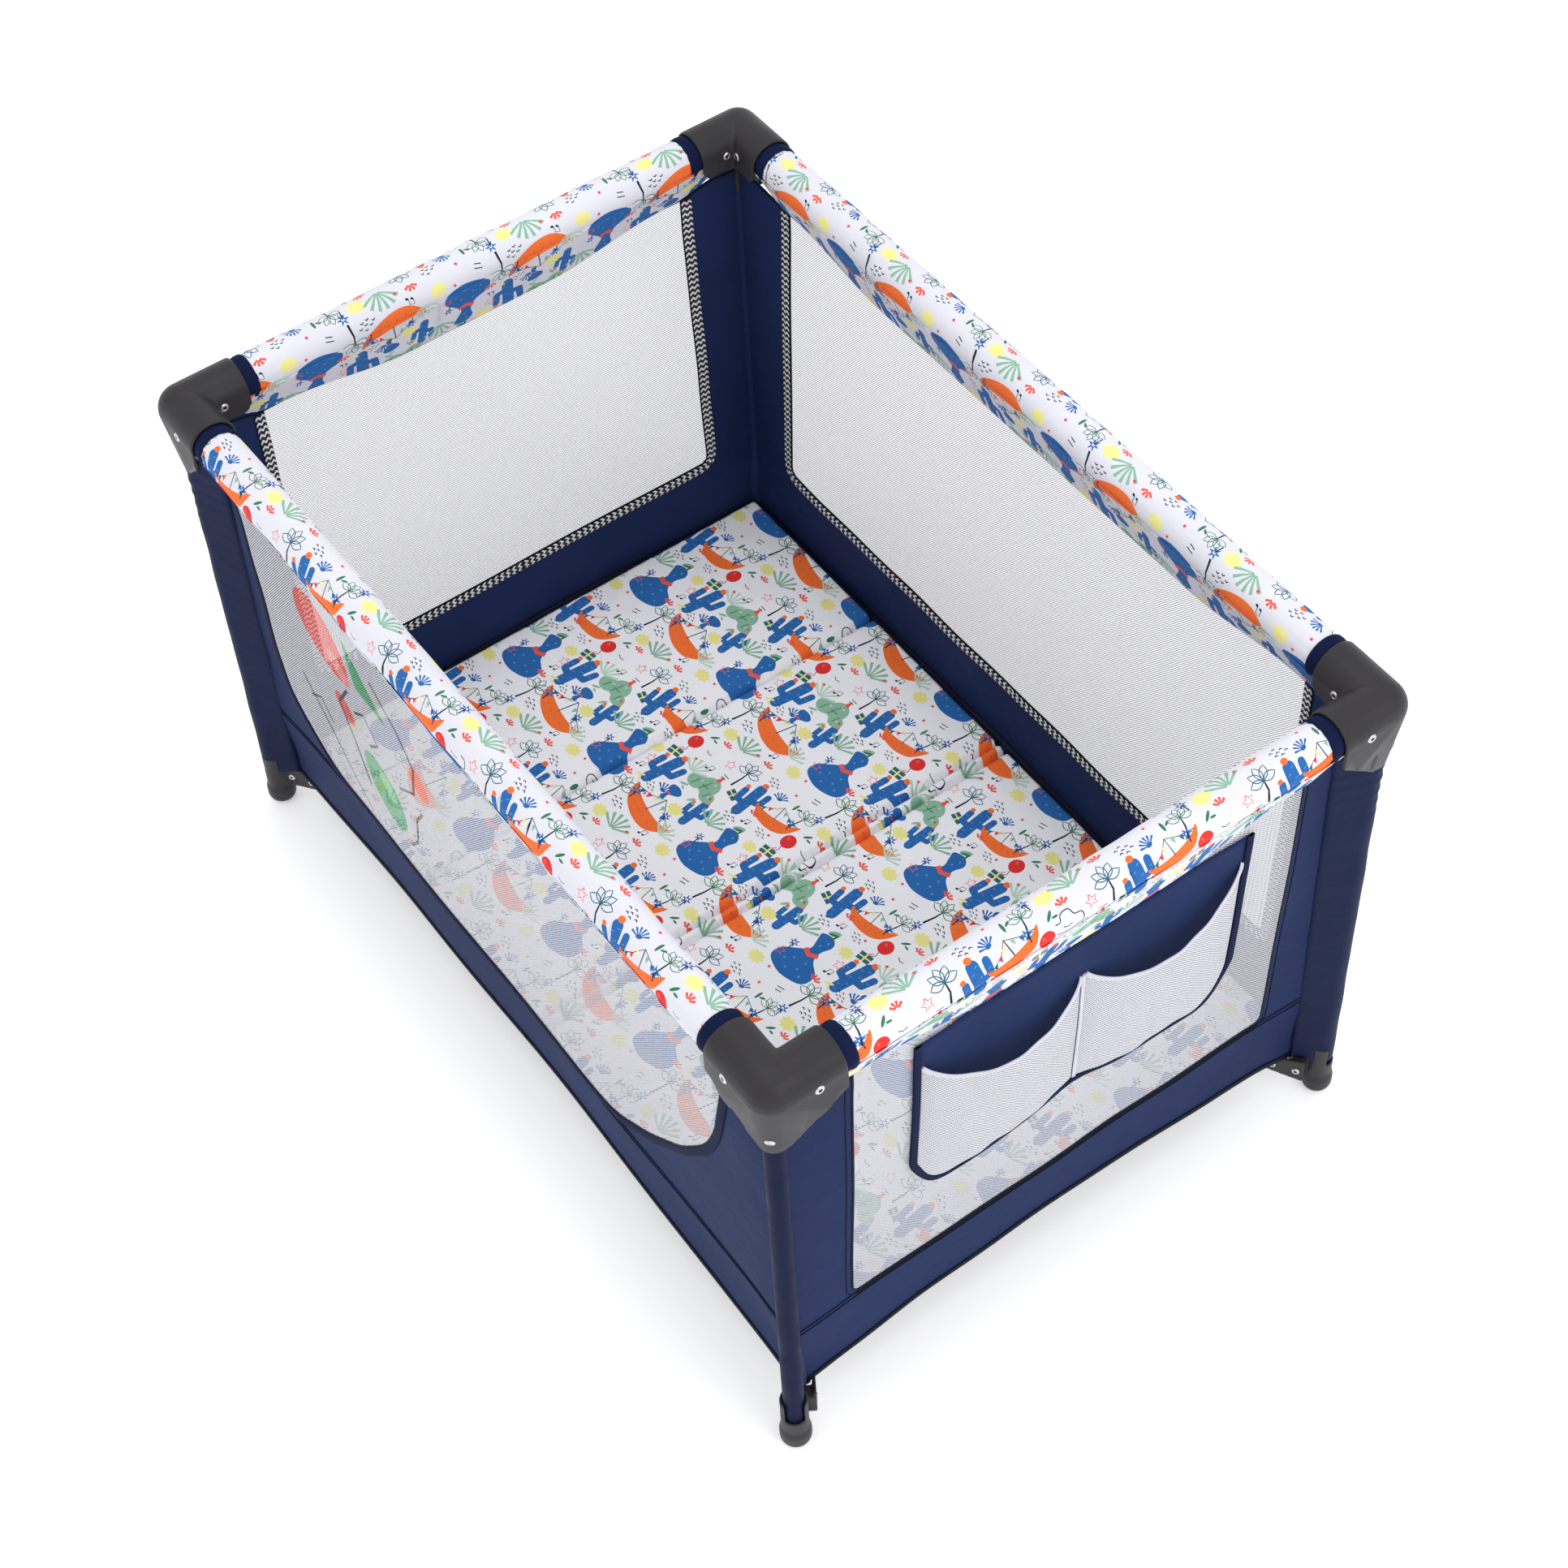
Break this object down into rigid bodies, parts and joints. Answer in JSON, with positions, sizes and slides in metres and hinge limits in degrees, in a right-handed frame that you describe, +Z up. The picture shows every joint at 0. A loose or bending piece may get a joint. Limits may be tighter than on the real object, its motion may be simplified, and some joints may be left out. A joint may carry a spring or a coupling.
{
  "type": "folding playpen",
  "caption": "Rectangular folding playpen with mesh walls, padded top rails, a hinged floor frame, a folding mattress and a hanging organizer.",
  "frame": {"origin": "on the floor at the centre of the four feet", "axes": "+Z up, X along the long sides, the organizer on the +X end, the front on -Y"},
  "size_m": [1.243, 0.859, 0.765],
  "materials": {
    "charcoal_plastic": "fine moulded texture",
    "navy_paint": "smooth navy powder coat",
    "grey_steel": "zinc plated tube",
    "printed_fabric": "white woven polyester with a small coloured print",
    "navy_fabric": "navy oxford weave",
    "mesh_fabric": "white knitted netting",
    "black_rubber": "matte"
  },
  "bodies": {
    "leg_front_left": {"leg_front_left": "navy_paint", "corner_cap_front_left": "charcoal_plastic", "foot_bracket_front_left": "charcoal_plastic", "long_wall_front_left": "mesh_fabric", "short_wall_front_left": "mesh_fabric"},
    "floor_arm_front_left": {"floor_arm_front_left": "grey_steel"},
    "long_rail_front_left": {"long_rail_front_left": "grey_steel", "long_pad_front_left": "printed_fabric"},
    "short_rail_front_left": {"short_rail_front_left": "grey_steel", "short_pad_front_left": "printed_fabric"},
    "leg_front_right": {"leg_front_right": "navy_paint", "corner_cap_front_right": "charcoal_plastic", "foot_bracket_front_right": "charcoal_plastic", "long_wall_front_right": "mesh_fabric", "short_wall_front_right": "mesh_fabric"},
    "floor_arm_front_right": {"floor_arm_front_right": "grey_steel"},
    "long_rail_front_right": {"long_rail_front_right": "grey_steel", "long_pad_front_right": "printed_fabric"},
    "short_rail_front_right": {"short_rail_front_right": "grey_steel", "short_pad_front_right": "printed_fabric"},
    "leg_rear_left": {"leg_rear_left": "navy_paint", "corner_cap_rear_left": "charcoal_plastic", "foot_bracket_rear_left": "charcoal_plastic", "long_wall_rear_left": "mesh_fabric", "short_wall_rear_left": "mesh_fabric"},
    "floor_arm_rear_left": {"floor_arm_rear_left": "grey_steel"},
    "long_rail_rear_left": {"long_rail_rear_left": "grey_steel", "long_pad_rear_left": "printed_fabric"},
    "short_rail_rear_left": {"short_rail_rear_left": "grey_steel", "short_pad_rear_left": "printed_fabric"},
    "leg_rear_right": {"leg_rear_right": "navy_paint", "corner_cap_rear_right": "charcoal_plastic", "foot_bracket_rear_right": "charcoal_plastic", "long_wall_rear_right": "mesh_fabric", "short_wall_rear_right": "mesh_fabric"},
    "floor_arm_rear_right": {"floor_arm_rear_right": "grey_steel"},
    "long_rail_rear_right": {"long_rail_rear_right": "grey_steel", "long_pad_rear_right": "printed_fabric"},
    "short_rail_rear_right": {"short_rail_rear_right": "grey_steel", "short_pad_rear_right": "printed_fabric"},
    "hub": {"hub": "charcoal_plastic", "hub_handle": "navy_fabric", "hub_foot": "black_rubber"},
    "latch_front": {"latch_front": "charcoal_plastic"},
    "latch_button_front": {"latch_button_front": "charcoal_plastic"},
    "latch_rear": {"latch_rear": "charcoal_plastic"},
    "latch_button_rear": {"latch_button_rear": "charcoal_plastic"},
    "latch_left": {"latch_left": "charcoal_plastic"},
    "latch_button_left": {"latch_button_left": "charcoal_plastic"},
    "latch_right": {"latch_right": "charcoal_plastic", "organizer_back": "navy_fabric", "organizer_pocket_front": "mesh_fabric", "organizer_pocket_rear": "mesh_fabric"},
    "latch_button_right": {"latch_button_right": "charcoal_plastic"},
    "mattress_band": {"mattress_band": "printed_fabric"},
    "mattress_inner_left": {"mattress_inner_left": "printed_fabric"},
    "mattress_outer_left": {"mattress_outer_left": "printed_fabric"},
    "mattress_inner_right": {"mattress_inner_right": "printed_fabric"},
    "mattress_outer_right": {"mattress_outer_right": "printed_fabric"}
  },
  "joints": [
    {"name": "frame_fold", "type": "hinge", "parent": "leg_front_right", "child": "floor_arm_front_right", "pos_m": [0.552, -0.36, 0.048], "axis": [0.5322, 0.8466, 0], "range_deg": [0, 80], "deforming": ["long_wall_front_left", "short_wall_front_left", "long_wall_front_right", "short_wall_front_right", "long_wall_rear_left", "short_wall_rear_left", "long_wall_rear_right", "short_wall_rear_right", "organizer_back", "organizer_pocket_front", "organizer_pocket_rear", "mattress_band", "mattress_inner_left", "mattress_inner_right", "mattress_outer_left", "mattress_outer_right"]},
    {"name": "hub_level", "type": "hinge", "parent": "floor_arm_front_right", "child": "hub", "pos_m": [0.035, -0.035, 0.048], "axis": [0.5322, 0.8466, 0], "range_deg": [-80, 0]},
    {"name": "floor_arm_pivot_front_left", "type": "hinge", "parent": "hub", "child": "floor_arm_front_left", "pos_m": [-0.035, -0.035, 0.048], "axis": [0.5322, -0.8466, 0], "range_deg": [0, 80]},
    {"name": "foot_pivot_front_left", "type": "hinge", "parent": "floor_arm_front_left", "child": "leg_front_left", "pos_m": [-0.552, -0.36, 0.048], "axis": [0.5322, -0.8466, 0], "range_deg": [-80, 0]},
    {"name": "floor_arm_pivot_rear_left", "type": "hinge", "parent": "hub", "child": "floor_arm_rear_left", "pos_m": [-0.035, 0.035, 0.048], "axis": [-0.5322, -0.8466, 0], "range_deg": [0, 80]},
    {"name": "foot_pivot_rear_left", "type": "hinge", "parent": "floor_arm_rear_left", "child": "leg_rear_left", "pos_m": [-0.552, 0.36, 0.048], "axis": [-0.5322, -0.8466, 0], "range_deg": [-80, 0]},
    {"name": "floor_arm_pivot_rear_right", "type": "hinge", "parent": "hub", "child": "floor_arm_rear_right", "pos_m": [0.035, 0.035, 0.048], "axis": [-0.5322, 0.8466, 0], "range_deg": [0, 80]},
    {"name": "foot_pivot_rear_right", "type": "hinge", "parent": "floor_arm_rear_right", "child": "leg_rear_right", "pos_m": [0.552, 0.36, 0.048], "axis": [-0.5322, 0.8466, 0], "range_deg": [-80, 0]},
    {"name": "long_rail_pivot_front_left", "type": "hinge", "parent": "leg_front_left", "child": "long_rail_front_left", "pos_m": [-0.552, -0.398, 0.735], "axis": [0, 1, 0], "range_deg": [0, 80]},
    {"name": "short_rail_pivot_front_left", "type": "hinge", "parent": "leg_front_left", "child": "short_rail_front_left", "pos_m": [-0.59, -0.36, 0.735], "axis": [-1, 0, 0], "range_deg": [0, 80]},
    {"name": "long_rail_pivot_front_right", "type": "hinge", "parent": "leg_front_right", "child": "long_rail_front_right", "pos_m": [0.552, -0.398, 0.735], "axis": [0, -1, 0], "range_deg": [0, 80]},
    {"name": "short_rail_pivot_front_right", "type": "hinge", "parent": "leg_front_right", "child": "short_rail_front_right", "pos_m": [0.59, -0.36, 0.735], "axis": [-1, 0, 0], "range_deg": [0, 80]},
    {"name": "long_rail_pivot_rear_left", "type": "hinge", "parent": "leg_rear_left", "child": "long_rail_rear_left", "pos_m": [-0.552, 0.398, 0.735], "axis": [0, 1, 0], "range_deg": [0, 80]},
    {"name": "short_rail_pivot_rear_left", "type": "hinge", "parent": "leg_rear_left", "child": "short_rail_rear_left", "pos_m": [-0.59, 0.36, 0.735], "axis": [1, 0, 0], "range_deg": [0, 80]},
    {"name": "long_rail_pivot_rear_right", "type": "hinge", "parent": "leg_rear_right", "child": "long_rail_rear_right", "pos_m": [0.552, 0.398, 0.735], "axis": [0, -1, 0], "range_deg": [0, 80]},
    {"name": "short_rail_pivot_rear_right", "type": "hinge", "parent": "leg_rear_right", "child": "short_rail_rear_right", "pos_m": [0.59, 0.36, 0.735], "axis": [1, 0, 0], "range_deg": [0, 80]},
    {"name": "latch_pivot_front", "type": "hinge", "parent": "long_rail_front_right", "child": "latch_front", "pos_m": [0.035, -0.398, 0.735], "axis": [0, -1, 0], "range_deg": [-80, 0]},
    {"name": "latch_button_front_press", "type": "slide", "parent": "latch_front", "child": "latch_button_front", "axis": [0, 0, 1], "range_m": [0, 0.006], "stiffness_N_per_m": 400, "springref_m": -0.002},
    {"name": "latch_pivot_rear", "type": "hinge", "parent": "long_rail_rear_right", "child": "latch_rear", "pos_m": [0.035, 0.398, 0.735], "axis": [0, -1, 0], "range_deg": [-80, 0]},
    {"name": "latch_button_rear_press", "type": "slide", "parent": "latch_rear", "child": "latch_button_rear", "axis": [0, 0, 1], "range_m": [0, 0.006], "stiffness_N_per_m": 400, "springref_m": -0.002},
    {"name": "latch_pivot_left", "type": "hinge", "parent": "short_rail_front_left", "child": "latch_left", "pos_m": [-0.59, -0.035, 0.735], "axis": [-1, 0, 0], "range_deg": [-80, 0]},
    {"name": "latch_button_left_press", "type": "slide", "parent": "latch_left", "child": "latch_button_left", "axis": [0, 0, 1], "range_m": [0, 0.006], "stiffness_N_per_m": 400, "springref_m": -0.002},
    {"name": "latch_pivot_right", "type": "hinge", "parent": "short_rail_front_right", "child": "latch_right", "pos_m": [0.59, -0.035, 0.735], "axis": [-1, 0, 0], "range_deg": [-80, 0]},
    {"name": "latch_button_right_press", "type": "slide", "parent": "latch_right", "child": "latch_button_right", "axis": [0, 0, 1], "range_m": [0, 0.006], "stiffness_N_per_m": 400, "springref_m": -0.002},
    {"name": "mattress_lift", "type": "slide", "parent": "hub", "child": "mattress_band", "axis": [0, 0, 1], "range_m": [0, 0.12]},
    {"name": "mattress_crease_inner_left", "type": "hinge", "parent": "mattress_band", "child": "mattress_inner_left", "pos_m": [-0.0083, 0, 0.104], "axis": [0, 1, 0], "range_deg": [0, 80]},
    {"name": "mattress_crease_outer_left", "type": "hinge", "parent": "mattress_inner_left", "child": "mattress_outer_left", "pos_m": [-0.2843, 0, 0.082], "axis": [0, 1, 0], "range_deg": [-160, 0]},
    {"name": "mattress_crease_inner_right", "type": "hinge", "parent": "mattress_band", "child": "mattress_inner_right", "pos_m": [0.0083, 0, 0.104], "axis": [0, -1, 0], "range_deg": [0, 80]},
    {"name": "mattress_crease_outer_right", "type": "hinge", "parent": "mattress_inner_right", "child": "mattress_outer_right", "pos_m": [0.2843, 0, 0.082], "axis": [0, -1, 0], "range_deg": [-160, 0]}
  ],
  "couplings": [
    {"joint": "hub_level", "follows": "frame_fold", "ratio": -1},
    {"joint": "floor_arm_pivot_front_left", "follows": "frame_fold", "ratio": 1},
    {"joint": "foot_pivot_front_left", "follows": "frame_fold", "ratio": -1},
    {"joint": "floor_arm_pivot_rear_left", "follows": "frame_fold", "ratio": 1},
    {"joint": "foot_pivot_rear_left", "follows": "frame_fold", "ratio": -1},
    {"joint": "floor_arm_pivot_rear_right", "follows": "frame_fold", "ratio": 1},
    {"joint": "foot_pivot_rear_right", "follows": "frame_fold", "ratio": -1},
    {"joint": "long_rail_pivot_front_left", "follows": "frame_fold", "ratio": 1},
    {"joint": "short_rail_pivot_front_left", "follows": "frame_fold", "ratio": 1},
    {"joint": "long_rail_pivot_front_right", "follows": "frame_fold", "ratio": 1},
    {"joint": "short_rail_pivot_front_right", "follows": "frame_fold", "ratio": 1},
    {"joint": "long_rail_pivot_rear_left", "follows": "frame_fold", "ratio": 1},
    {"joint": "short_rail_pivot_rear_left", "follows": "frame_fold", "ratio": 1},
    {"joint": "long_rail_pivot_rear_right", "follows": "frame_fold", "ratio": 1},
    {"joint": "short_rail_pivot_rear_right", "follows": "frame_fold", "ratio": 1},
    {"joint": "latch_pivot_front", "follows": "frame_fold", "ratio": -1},
    {"joint": "latch_pivot_rear", "follows": "frame_fold", "ratio": -1},
    {"joint": "latch_pivot_left", "follows": "frame_fold", "ratio": -1},
    {"joint": "latch_pivot_right", "follows": "frame_fold", "ratio": -1},
    {"joint": "mattress_lift", "follows": "frame_fold", "m_per_rad": 0.085935},
    {"joint": "mattress_crease_inner_left", "follows": "frame_fold", "ratio": 1},
    {"joint": "mattress_crease_outer_left", "follows": "frame_fold", "ratio": -2},
    {"joint": "mattress_crease_inner_right", "follows": "frame_fold", "ratio": 1},
    {"joint": "mattress_crease_outer_right", "follows": "frame_fold", "ratio": -2}
  ]
}
